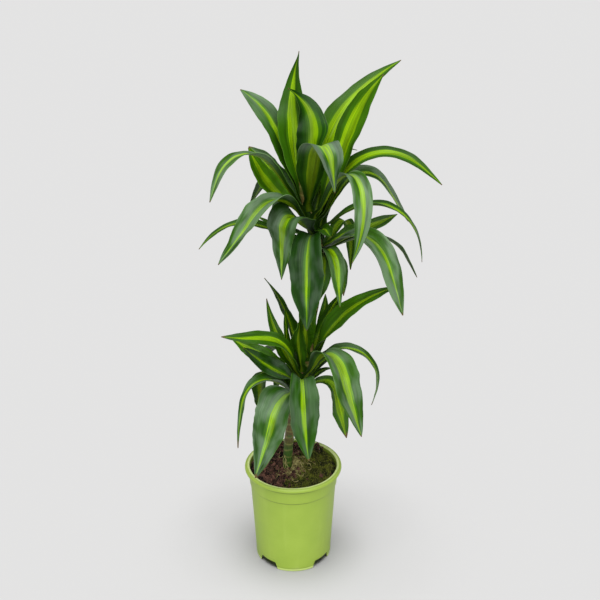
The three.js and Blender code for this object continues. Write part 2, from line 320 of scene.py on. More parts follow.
potLook = {
    "blotches": 26, "flow": 60, "flowStretch": 0.15, "lime": (0.25, 0.75),
    "pale": (0.5, 0.8, 0.0, 0.35), "pits": 1400,
    # painted highlights: on the inner crest of the lip and on the hem
    "lipHighlight": (pot["height"] - 0.0024, pot["height"] - 0.0012, 0.0, 0.9),
    "rimHighlight": (pot["rimRadius"] - 0.0054, pot["rimRadius"] - 0.0036, 1.0, 0.1),
    "hemHighlight": (pot["hemHeight"] - 0.0015, pot["hemHeight"], 0.5, 0.0),
    "dust": (0.0, 0.012, 0.3, 0.0), "dustBlotches": (0.5, 0.65), "roughness": (0.3, 0.7, 0.42, 0.5),
    "pitRelief": 0.15, "flowRelief": 0.5, "bump": (0.25, 0.0006), "shine": 0.45,
    # painted shade lines under the lip and over the hem; the one under the collar is painted shade and dirt
    "lines": [
        # height, half its width, strength
        (pot["height"] - pot["lipDepth"] - 0.0036, 0.0034, 1.0),
        (pot["collarBottom"] - 0.0008, 0.0015, 0.85),
        (pot["hemHeight"] + 0.0006, 0.0012, 0.5),
    ],
    "lineCore": 0.3,
}


# Corners of a profile rounded off, and the straight stretches cut into short ones
def softenProfile(points):
    points = [Vector(point) for point in points]
    soft = [points[0]]
    for k in range(1, len(points) - 1):
        before, corner, after = points[k - 1:k + 2]
        first = corner + (before - corner).normalized() * min(pot["softEdge"], (before - corner).length / 2)
        last = corner + (after - corner).normalized() * min(pot["softEdge"], (after - corner).length / 2)
        for part in (0, 0.33, 0.67, 1):
            soft.append(first.lerp(corner, part).lerp(corner.lerp(last, part), part))
    soft.append(points[-1])
    fine = [soft[0]]
    for point in soft[1:]:
        last = fine[-1]
        pieces = max(1, ceil((point - last).length / pot["longest"]))
        fine += [last.lerp(point, (k + 1) / pieces) for k in range(pieces)]
    return fine


def arc(radius, height, round, first, last, steps):
    turns = [radians(lerp(first, last, k / steps)) for k in range(steps + 1)]
    return [(radius + round * cos(turn), height + round * sin(turn)) for turn in turns]


def potProfile():
    lipBottom = pot["height"] - pot["lipDepth"]
    channel, wall = pot["channelHeight"], pot["wall"]
    innerChannel = channel + pot["floorThickness"]
    slope = (pot["bodyTopRadius"] - pot["hemTopRadius"]) / (pot["collarBottom"] - pot["hemHeight"])
    outside = softenProfile([
        (0, 0),
        (pot["floorRadius"] + wall, 0),
        (pot["floorRadius"] + 2 * wall, channel),
        (pot["baseRadius"] - wall, channel),
        (pot["baseRadius"] - wall, 0),
        (pot["baseRadius"], 0),
        (pot["hemRadius"], pot["hemHeight"] / 2),
        (pot["hemTopRadius"], pot["hemHeight"]),
        (pot["bodyTopRadius"], pot["collarBottom"] - pot["collarStep"]),
        (pot["collarBottomRadius"], pot["collarBottom"]),
        (pot["collarRadius"], lipBottom),
        (pot["rimRadius"] - pot["lipRound"], lipBottom),
    ])
    outer, inner = pot["lipRound"], pot["innerRound"]
    lip = arc(pot["rimRadius"] - outer, pot["height"] - outer, outer, pot["lipFrom"], 90, 12)
    lip += arc(pot["collarRadius"] - wall + inner, pot["height"] - inner, inner, 90, 180, 8)
    inside = softenProfile([
        lip[-1],
        (pot["bodyTopRadius"] - wall, pot["collarBottom"]),
        (pot["hemTopRadius"] - wall + slope * (innerChannel - pot["hemHeight"]), innerChannel),
        (pot["floorRadius"] + wall, innerChannel),
        (pot["floorRadius"], pot["floorThickness"]),
        (0, pot["floorThickness"]),
    ])
    return outside + [Vector(point) for point in lip] + inside[1:]


def cutAway(piece, cutter):
    applyModifier(piece, "BOOLEAN", object=cutter, operation="DIFFERENCE", solver="EXACT")
    bpy.data.objects.remove(cutter)


def addPot(material):
    profile = potProfile()

    def place(u, v):
        point = profile[round(v * (len(profile) - 1))]
        turn = -2 * pi * u
        return point[0] * cos(turn), point[0] * sin(turn), point[1]

    piece, _ = bendGrid("nurseryPot", pot["sides"], len(profile) - 1, place)
    joinSeams(piece)
    for k in range(pot["feet"]):
        turn = radians(pot["feetShift"]) + (k + 0.5) * 2 * pi / pot["feet"]
        bpy.ops.mesh.primitive_cube_add(size=1)
        cutter = bpy.context.object
        for vertex in cutter.data.vertices:
            top = vertex.co.z > 0
            width = pot["footGapTop"] if top else pot["footGapBottom"]
            vertex.co = (vertex.co.x * width, pot["baseRadius"] + vertex.co.y * pot["cutDepth"],
                         pot["channelHeight"] if top else -pot["cutBelow"])
            vertex.co.rotate(Matrix.Rotation(turn, 3, "Z"))
        cutAway(piece, cutter)
    for k in range(pot["drains"]):
        x, y, _ = pot["drainCircle"] * outward((k + 0.5) * 2 * pi / pot["drains"])
        bpy.ops.mesh.primitive_cylinder_add(vertices=24, radius=pot["drainRadius"], depth=pot["drainCut"],
                                            location=(x, y, pot["channelHeight"]))
        cutAway(piece, bpy.context.object)
    applyModifier(piece, "BEVEL", width=pot["bevel"], segments=2, limit_method="ANGLE",
                  angle_limit=radians(pot["bevelAngle"]))
    smooth(piece, pot["smoothAngle"])
    piece.data.materials.append(material)
    finishPiece(piece, ("pot",))
    return piece


def potMaterial():
    material, tree, shader = newMaterial("limePlastic")
    place = objectPlace(tree)
    parts = addNode(tree, "SeparateXYZ", {0: place}).outputs
    height = parts["Z"]
    out = calc("MULTIPLY_ADD", parts["X"], parts["X"], times(parts["Y"], parts["Y"]))
    out = calc("SQRT", out)
    blotches = grain(place, potLook["blotches"], 4.0)
    flow = grain(stretched(place, potLook["flowStretch"]), potLook["flow"], 3.0)
    base = blend(rampUp(blotches, *potLook["lime"]), potColours["deep"], potColours["lime"])
    base = blend(rampUp(flow, *potLook["pale"]), base, potColours["pale"])
    # painted highlights on the lip and the hem, dark lines of painted shade under the lip and over the hem,
    # and of painted shade and dirt under the collar
    lip = times(rampUp(height, *potLook["lipHighlight"]), rampUp(out, *potLook["rimHighlight"]))
    base = blend(lip, base, potColours["paintedHighlight"])
    base = blend(rampUp(height, *potLook["hemHighlight"]), base, potColours["paintedHighlight"])
    # each line is a dark band of painted shade
    for level, width, strength in potLook["lines"]:
        away = calc("ABSOLUTE", calc("SUBTRACT", height, level))
        line = rampUp(away, potLook["lineCore"] * width, width, strength, 0.0)
        base = blend(line, base, potColours["line"])
    dusty = times(rampUp(height, *potLook["dust"]), rampUp(blotches, *potLook["dustBlotches"]))
    base = blend(dusty, base, potColours["dust"])
    setShader(shader, base, rampUp(blotches, *potLook["roughness"]), potLook["shine"])
    pits = times(grain(place, potLook["pits"], 2.0), potLook["pitRelief"])
    relief = calc("ADD", pits, times(flow, potLook["flowRelief"]))
    addBump(shader, relief, *potLook["bump"])
    return material


soil = {
    "level": 0.170, "crown": 0.005, "crownShare": 0.9, "slope": 0.05, "edgeRadius": 0.0749,
    "edgeFrom": (0.88, 1.03), "spread": 0.0762, "edgeDrop": 0.001, "skirt": 0.014, "clod": 0.0024,
    "cells": 210, "smoothAngle": 75,
    # turns across the pot and front to back, start
    "waves": [(230, 190, 1.3), (110, -160, 0), (310, 270, 0.8)],
    # place, height, radius
    "heaps": [(-0.002, 0.004, 0.007, 0.028), (-0.024, 0.050, 0.014, 0.032), (0.044, 0.046, 0.013, 0.028),
              (0.010, 0.054, 0.009, 0.028), (-0.012, -0.052, 0.005, 0.014), (0.014, 0.000, 0.010, 0.026),
              (0.064, 0.020, 0.006, 0.022), (0.066, -0.014, 0.004, 0.020), (-0.052, 0.038, 0.006, 0.024)],
    "crumbScale": 190, "crumbRise": 0.0042, "gritScale": 420, "gritRise": 0.0016, "mossGrit": 0.0008,
    "cushionScale": 150, "cushionRise": 0.0030, "strewnTo": 0.070,
}
mossPlan = {
    "patch": 0.016, "patchScale": 60, "lean": 0.12, "right": (-0.004, 0.010), "back": (0.030, 0.052),
    "front": (0.048, 0.060), "frontLeft": (-0.045, -0.020),
}


def soilLevel(x, y):
    out = hypot(x, y)
    share = min(out / soil["edgeRadius"], soil["crownShare"])
    level = soil["level"] + soil["crown"] * (1 - share ** 2) + soil["slope"] * y
    for alongX, alongY, start in soil["waves"]:
        level += soil["clod"] * sin(alongX * x + alongY * y + start) / len(soil["waves"])
    for heapX, heapY, height, radius in soil["heaps"]:
        level += height * (1 - ease(hypot(x - heapX, y - heapY), 0, radius))
    edge = ease(out / soil["edgeRadius"], *soil["edgeFrom"])
    return lerp(level, soil["level"] - soil["edgeDrop"], edge)


# How mossy a spot is: the right and the front of the pot
def mossShare(x, y):
    scale = mossPlan["patchScale"]
    patch = mossPlan["patch"] * noise.noise(Vector((x * scale, y * scale, 4)))
    right = ease(x - mossPlan["lean"] * y + patch, *mossPlan["right"]) * (1 - ease(y, *mossPlan["back"]))
    front = ease(-y + patch, *mossPlan["front"]) * ease(x, *mossPlan["frontLeft"])
    return max(right, front)


def soilHeight(x, y):
    spot = Vector((x, y, 0))
    crumbs = noise.voronoi(spot * soil["crumbScale"] + Vector((0, 0, 5)))[0][0]
    grit = noise.fractal(spot * soil["gritScale"], 0.9, 2.1, 4)
    cushions = noise.noise(spot * soil["cushionScale"]) * 0.5 + noise.noise(spot * soil["gritScale"]) * 0.3
    rough = soil["crumbRise"] * (0.5 - crumbs) + soil["gritRise"] * grit
    mossy = soil["cushionRise"] * cushions + soil["mossGrit"] * grit
    return soilLevel(x, y) + lerp(rough, mossy, mossShare(x, y))


def addSoil(material):
    def place(u, v):
        x, y = 2 * u - 1, 2 * v - 1
        x, y = x * sqrt(1 - y * y / 2) * soil["spread"], y * sqrt(1 - x * x / 2) * soil["spread"]
        return x, y, soilHeight(x, y)

    piece, _ = bendGrid("soilBed", soil["cells"], soil["cells"], place)
    editAll(piece)
    bpy.ops.mesh.region_to_loop()
    bpy.ops.mesh.extrude_region_move()
    bpy.ops.transform.translate(value=(0, 0, -soil["skirt"]))
    bpy.ops.object.mode_set(mode="OBJECT")
    spots = [vertex.co for vertex in piece.data.vertices]
    setAttribute(piece, "moss", [mossShare(spot.x, spot.y) for spot in spots])
    setAttribute(piece, "relief", [soilHeight(spot.x, spot.y) - soilLevel(spot.x, spot.y) for spot in spots])
    smooth(piece, soil["smoothAngle"])
    piece.data.materials.append(material)
    finishPiece(piece, ("soil",))


def addMesh(name, points, faces):
    mesh = bpy.data.meshes.new(name)
    mesh.from_pydata(points, [], faces)
    piece = bpy.data.objects.new(name, mesh)
    scene.collection.objects.link(piece)
    return piece


# Copies of small shapes gathered in one mesh, each placed by its own matrix
def gather(name, shapes, places, material):
    points, faces = [], []
    for k, matrix in enumerate(places):
        shape = shapes[k % len(shapes)]
        first = len(points)
        points += [matrix @ vertex.co for vertex in shape.data.vertices]
        faces += [[first + index for index in face.vertices] for face in shape.data.polygons]
    piece = addMesh(name, points, faces)
    piece.data.materials.append(material)
    for shape in shapes:
        bpy.data.objects.remove(shape)
    return piece


def addCrumb(seed, lumpiness):
    bpy.ops.mesh.primitive_ico_sphere_add(subdivisions=2, radius=1)
    crumb = bpy.context.object
    for vertex in crumb.data.vertices:
        spot = vertex.co.copy()
        swell = 1 + lumpiness * noise.noise(spot * 1.3 + Vector((seed, 0, 0)))
        swell += 0.5 * lumpiness * noise.noise(spot * 3.1 + Vector((0, seed, 0)))
        vertex.co = spot * swell
    return crumb


def scatterSpot(chance, wanted):
    while True:
        turn, out = chance.uniform(0, 2 * pi), soil["strewnTo"] * sqrt(chance.random())
        x, y = out * cos(turn), out * sin(turn)
        if chance.random() < wanted(x, y):
            return x, y


def turnedAt(chance, x, y, rise, sizes):
    turn = Matrix.Rotation(chance.uniform(0, 2 * pi), 4, Vector([chance.gauss(0, 1) for _ in range(3)]))
    scale = Matrix.Diagonal((*sizes, 1))
    return Matrix.Translation((x, y, soilHeight(x, y) + rise)) @ turn @ scale


grains = {
    "soilCrumbs": {
        "seed": 11, "count": 560, "shapes": range(6), "lumpiness": 0.8, "least": 0.0010,
        "spread": 0.0034, "rareness": 2.2, "stretch": (0.7, 1.3), "rise": 0.15, "smoothAngle": 60,
    },
    "whiteSpecks": {
        "seed": 5, "count": 16, "shapes": (21, 22), "lumpiness": 0.6, "least": 0.0003, "spread": 0.0004,
        "rareness": 1, "stretch": (0.7, 1.2), "rise": 0.3, "smoothAngle": None,
    },
}


def addGrains(name, material, wanted):
    plan = grains[name]
    chance = random.Random(plan["seed"])
    places = []
    for _ in range(plan["count"]):
        x, y = scatterSpot(chance, wanted)
        size = plan["least"] + plan["spread"] * chance.random() ** plan["rareness"]
        sizes = [size * chance.uniform(*plan["stretch"]) for _ in range(3)]
        places.append(turnedAt(chance, x, y, size * plan["rise"], sizes))
    shapes = [addCrumb(seed, plan["lumpiness"]) for seed in plan["shapes"]]
    piece = gather(name, shapes, places, material)
    if plan["smoothAngle"]:
        smooth(piece, plan["smoothAngle"])
    finishPiece(piece)


tuft = {
    "count": 2800, "size": (0.0014, 0.0034), "lean": 0.5, "sunk": 0.0003, "shapes": 8, "leaves": 7,
    "turnStep": 2.4, "turnSlack": 0.4, "reach": (0.15, 0.9), "halfWidth": 0.13, "kneeReach": 0.45,
    "kneeHeight": 0.55, "kneeWidth": 0.9, "tipHeight": (0.75, 1.1),
}


# A tuft of moss: a few narrow leaves that lean out from one foot
def addTuft(seed):
    chance = random.Random(seed)
    points, faces = [], []
    for k in range(tuft["leaves"]):
        out = outward(k * tuft["turnStep"] + chance.uniform(-tuft["turnSlack"], tuft["turnSlack"]))
        reach = chance.uniform(*tuft["reach"])
        side = Vector((-out.y, out.x, 0)) * tuft["halfWidth"]
        knee = out * reach * tuft["kneeReach"] + Vector((0, 0, tuft["kneeHeight"]))
        tip = out * reach + Vector((0, 0, chance.uniform(*tuft["tipHeight"])))
        first = len(points)
        points += [-side, side, knee + side * tuft["kneeWidth"], knee - side * tuft["kneeWidth"], tip]
        faces += [(first, first + 1, first + 2, first + 3), (first + 3, first + 2, first + 4)]
    return addMesh("tuft", points, faces)


def addMoss(material):
    chance = random.Random(3)
    places = []
    for _ in range(tuft["count"]):
        x, y = scatterSpot(chance, lambda x, y: mossShare(x, y) ** 2 + 0.01)
        size = chance.uniform(*tuft["size"])
        turn = Matrix.Rotation(chance.uniform(0, 2 * pi), 4, "Z")
        lean = Matrix.Rotation(chance.uniform(-tuft["lean"], tuft["lean"]), 4, "X")
        spot = Matrix.Translation((x, y, soilHeight(x, y) - tuft["sunk"]))
        places.append(spot @ turn @ lean @ Matrix.Scale(size, 4))
    shapes = [addTuft(seed) for seed in range(tuft["shapes"])]
    finishPiece(gather("moss", shapes, places, material))


strand = {"thinning": 0.6, "smoothAngle": 80, "furthest": 0.069, "liftDrift": 0.0004, "leastLift": 0.0001}


# Thin strands in one mesh: each is a list of points and a radius
def addStrands(name, strands, sides, material):
    curve = bpy.data.curves.new(name, "CURVE")
    curve.dimensions = "3D"
    curve.bevel_depth = 1.0
    curve.bevel_resolution = sides
    curve.use_fill_caps = True
    for points, radius in strands:
        spline = curve.splines.new("POLY")
        spline.points.add(len(points) - 1)
        for k, (place, knot) in enumerate(zip(points, spline.points)):
            knot.co = (*place, 1)
            knot.radius = radius * (1 - strand["thinning"] * k / len(points))
    piece = bpy.data.objects.new(name, curve)
    scene.collection.objects.link(piece)
    pick(piece)
    bpy.ops.object.convert(target="MESH")
    piece.data.materials.append(material)
    smooth(piece, strand["smoothAngle"])
    return piece


def wanderOverSoil(chance, x, y, heading, length, plan):
    points = []
    lift = plan["lift"]
    for _ in range(max(3, round(length / plan["step"]))):
        points.append((x, y, soilHeight(x, y) + lift))
        heading += chance.gauss(0, plan["curl"])
        x, y = x + plan["step"] * cos(heading), y + plan["step"] * sin(heading)
        if hypot(x, y) > strand["furthest"]:
            break
        lift = max(lift + chance.gauss(0, strand["liftDrift"]), strand["leastLift"])
    return points


roots = {
    "count": 150, "stemHeight": 0.180, "foot": 0.0095, "spread": 0.020, "crowding": 1.5, "turns": 1.0,
    "slant": 0.9, "length": (0.008, 0.034), "radius": (0.0003, 0.0009), "step": 0.0017, "lift": 0.0008,
    "curl": 0.55,
}
hanging = {
    "count": 14, "turns": (-2.6, 1.6), "top": (0.186, 0.206), "steps": 13, "sunk": 0.0008,
    "reach": 0.016, "droop": 1.5, "swing": 0.9, "uneven": 0.15, "lift": 0.0006,
    "radius": (0.0003, 0.0005),
}


def addRoots(chance, material):
    plan = stemPlans["short"]
    middle = stemCentre(plan, roots["stemHeight"])
    strands = []
    for _ in range(roots["count"]):
        turn = chance.gauss(0.0, roots["turns"])
        out = roots["foot"] + roots["spread"] * chance.random() ** roots["crowding"]
        x, y = middle.x + out * cos(turn), middle.y + out * sin(turn)
        length = chance.uniform(*roots["length"])
        points = wanderOverSoil(chance, x, y, turn + chance.gauss(0, roots["slant"]), length, roots)
        strands.append((points, chance.uniform(*roots["radius"])))
    # strands that leave the stem above the soil and droop on to it
    for _ in range(hanging["count"]):
        turn = chance.uniform(*hanging["turns"])
        top = chance.uniform(*hanging["top"])
        centre = stemCentre(plan, top)
        points = []
        for step in range(hanging["steps"] + 1):
            part = step / hanging["steps"]
            out = plan["radius"] - hanging["sunk"] + hanging["reach"] * part ** hanging["droop"]
            bearing = turn + hanging["swing"] * part + hanging["uneven"] * chance.gauss(0, 1)
            x, y = centre.x + out * cos(bearing), centre.y + out * sin(bearing)
            points.append((x, y, lerp(top, soilHeight(x, y) + hanging["lift"], ease(part, 0, 1))))
        strands.append((points, chance.uniform(*hanging["radius"])))
    finishPiece(addStrands("stemRoots", strands, 1, material))


fibres = {
    "count": 170, "offMoss": 0.6, "length": (0.004, 0.016), "radius": (0.00012, 0.0003), "step": 0.0014,
    "lift": 0.0008, "curl": 0.5,
}


def addFibres(chance, material):
    strands = []
    for _ in range(fibres["count"]):
        x, y = scatterSpot(chance, lambda x, y: 1 - fibres["offMoss"] * mossShare(x, y))
        heading = chance.uniform(0, 2 * pi)
        length = chance.uniform(*fibres["length"])
        points = wanderOverSoil(chance, x, y, heading, length, fibres)
        strands.append((points, chance.uniform(*fibres["radius"])))
    finishPiece(addStrands("peatFibres", strands, 0, material))


soilColours = {
    # the first colour is painted shade for the soil's hollows
    "hollowShade": srgb(10, 7, 5), "dark": srgb(22, 12, 9), "brown": srgb(112, 78, 64),
    "red": srgb(176, 130, 110), "mossDark": srgb(26, 40, 5), "moss": srgb(106, 116, 28),
    "mossPale": srgb(196, 190, 100), "root": srgb(190, 180, 120), "rootDark": srgb(124, 114, 64),
    "speck": srgb(214, 212, 204), "fibre": srgb(120, 92, 62),
}
soilLook = {
    # three colours, how fine the grain is, roughness, depth of the bumps
    "peat": ("dark", "brown", "red", 120, 0.9, 0.0012),
    "peatCrumb": ("dark", "brown", "red", 150, 0.9, 0.001),
    "whiteSpeck": ("speck", "speck", "speck", 200, 0.8, 0.0004),
    "mossLeaf": ("mossDark", "moss", "mossPale", 90, 0.8, 0.0003),
    "dryRoot": ("rootDark", "root", "root", 110, 0.8, 0.0004),
    "peatFibre": ("rootDark", "fibre", "fibre", 90, 0.85, 0.0002),
}
soilShades = {
    "finer": 7, "second": (0.40, 0.62), "third": (0.45, 0.75, 0.0, 0.75), "moss": (0.3, 0.7),
    "mossEdge": (0.35, 0.7), "mossRagged": 0.35, "hollowShade": (-0.0004, 0.0018, 0.95, 0.0), "shine": 0.25,
    "bump": 0.8,
}


def soilMaterial(name):
    material, tree, shader = newMaterial(name)
    *names, scale, roughness, depth = soilLook[name]
    first, second, third = [soilColours[key] for key in names]
    place = objectPlace(tree)
    coarse = grain(place, scale, 4.0, 0.6)
    fine = grain(place, scale * soilShades["finer"], 4.0, 0.65)
    base = blend(rampUp(coarse, *soilShades["second"]), first, second)
    base = blend(rampUp(fine, *soilShades["third"]), base, third)
    if name == "peat":
        mossy = rampUp(fine, *soilShades["moss"])
        green = blend(mossy, soilColours["mossDark"], soilColours["moss"])
        cover = calc("ADD", attribute(tree, "moss"), centred(coarse, soilShades["mossRagged"]))
        base = blend(rampUp(cover, *soilShades["mossEdge"]), base, green)
        # painted shade: the low spots of the soil are darkened
        hollowShade = rampUp(attribute(tree, "relief"), *soilShades["hollowShade"])
        base = blend(hollowShade, base, soilColours["hollowShade"])
    setShader(shader, base, roughness, soilShades["shine"])
    addBump(shader, fine, soilShades["bump"], depth)
    return material


def addGround():
    addSoil(soilMaterial("peat"))
    addGrains("soilCrumbs", soilMaterial("peatCrumb"), lambda x, y: 1.03 - mossShare(x, y))
    addGrains("whiteSpecks", soilMaterial("whiteSpeck"), lambda x, y: 1)
    addMoss(soilMaterial("mossLeaf"))
    chance = random.Random(8)
    addRoots(chance, soilMaterial("dryRoot"))
    addFibres(chance, soilMaterial("peatFibre"))


stemPlans = {
    "short": {
        "node": "stem_short", "radius": 0.0085, "bud": 0.034, "scarStep": 0.0125,
        "points": [(-0.014, -0.008, 0.120), (-0.011, -0.008, 0.160), (-0.005, -0.007, 0.250),
                   (0.012, -0.005, 0.322), (0.018, -0.005, 0.360), (0.027, -0.005, 0.405),
                   (0.028, -0.004, 0.436)],
    },
    "tall": {
        "node": "stem_tall", "radius": 0.008, "bud": 0.052, "scarStep": 0.014,
        "points": [(0.029, 0.034, 0.120), (0.028, 0.036, 0.204), (0.019, 0.038, 0.325),
                   (0.027, 0.036, 0.362), (0.032, 0.032, 0.439), (0.045, 0.022, 0.531),
                   (0.043, 0.018, 0.566), (0.025, 0.010, 0.634), (0.018, 0.008, 0.668),
                   (0.012, 0.008, 0.720)],
    },
}
bark = {
    "sides": 40, "ringStep": 0.0012, "budRadius": 0.0012, "scarDepth": 0.0005, "scarWidth": 0.09,
    "ridge": 0.00045, "ridgeWidth": 0.07, "ridgeTilt": 0.0011, "tiltTurns": 260, "slack": 0.0004,
    "uneven": 0.0004, "unevenScale": 55, "halvings": 30, "smoothAngle": 60,
}


def stemCentre(plan, height):
    points = [Vector(point) for point in plan["points"]]
    low, high = 0.0, 1.0
    for _ in range(bark["halvings"]):
        middle = (low + high) / 2
        if alongPoints(points, middle).z < height:
            low = middle
        else:
            high = middle
    return alongPoints(points, low)


# How far a spot is from the nearest leaf scar, as a share of the step between two scars
def offScar(plan, height, turn):
    tilt = bark["ridgeTilt"] * sin(turn + height * bark["tiltTurns"])
    return ((height + tilt - plan["points"][0][2]) / plan["scarStep"]) % 1.0 - 0.5


def addStem(name, plan, material):
    foot, top = plan["points"][0][2], plan["points"][-1][2]
    budFoot = top - plan["bud"]
    rows = round((top - foot) / bark["ringStep"])
    neck = plan["radius"] - bark["scarDepth"]
    centres = [stemCentre(plan, lerp(foot, top, k / rows)) for k in range(rows + 1)]

    # a low ridge at each leaf scar, a slight waist between them
    def radiusAt(height, turn):
        if height > budFoot:
            return lerp(neck, bark["budRadius"], (height - budFoot) / plan["bud"])
        away = offScar(plan, height, turn)
        ridge = bark["ridge"] * exp(-(away / bark["ridgeWidth"]) ** 2)
        waist = bark["scarDepth"] * (0.5 - abs(away))
        spot = Vector((cos(turn), sin(turn), height * bark["unevenScale"]))
        uneven = bark["uneven"] * noise.noise(spot)
        return plan["radius"] - bark["slack"] - waist + ridge + uneven

    def place(u, v):
        turn = u * 2 * pi
        k = round(v * rows)
        radius = 0 if k == rows else radiusAt(centres[k].z, turn)
        return centres[k] + radius * outward(turn)

    piece, shares = bendGrid(name, bark["sides"], rows, place)
    aways = [offScar(plan, lerp(foot, top, v), u * 2 * pi) for u, v in shares]
    setAttribute(piece, "scar", [exp(-(away / bark["scarWidth"]) ** 2) for away in aways])
    joinSeams(piece)
    smooth(piece, bark["smoothAngle"])
    piece.data.materials.append(material)
    finishPiece(piece, (plan["node"],))


stemColours = {
    "green": srgb(62, 104, 16), "brown": srgb(122, 100, 52), "pale": srgb(150, 150, 80),
    "dark": srgb(40, 52, 10),
}
stemLook = {
    "streaks": 900, "stretch": 0.12, "blotches": 70, "brownHeights": (0.212, 0.242),
    "brownPatches": (0.3, 0.52), "darkStreaks": (0.35, 0.7, 0, 0.6),
    "ringPatches": (0.25, 0.6, 0.35, 1.0), "ringShare": 0.85, "roughness": (0.3, 0.7, 0.45, 0.65),
    "shine": 0.5, "bump": (0.4, 0.0004),
}


def stemMaterial():
    material, tree, shader = newMaterial("ringedStem")
    place = objectPlace(tree)
    streaks = grain(stretched(place, stemLook["stretch"]), stemLook["streaks"], 3.0)
    blotches = grain(place, stemLook["blotches"], 3.0)
    height = addNode(tree, "SeparateXYZ", {0: place}).outputs["Z"]
    browning = times(rampUp(height, *stemLook["brownHeights"]), rampUp(blotches, *stemLook["brownPatches"]))
    base = blend(browning, stemColours["green"], stemColours["brown"])
    base = blend(rampUp(streaks, *stemLook["darkStreaks"]), base, stemColours["dark"])
    ring = times(attribute(tree, "scar"), rampUp(blotches, *stemLook["ringPatches"]))
    base = blend(times(ring, stemLook["ringShare"]), base, stemColours["pale"])
    setShader(shader, base, rampUp(blotches, *stemLook["roughness"]), stemLook["shine"])
    addBump(shader, streaks, *stemLook["bump"])
    return material
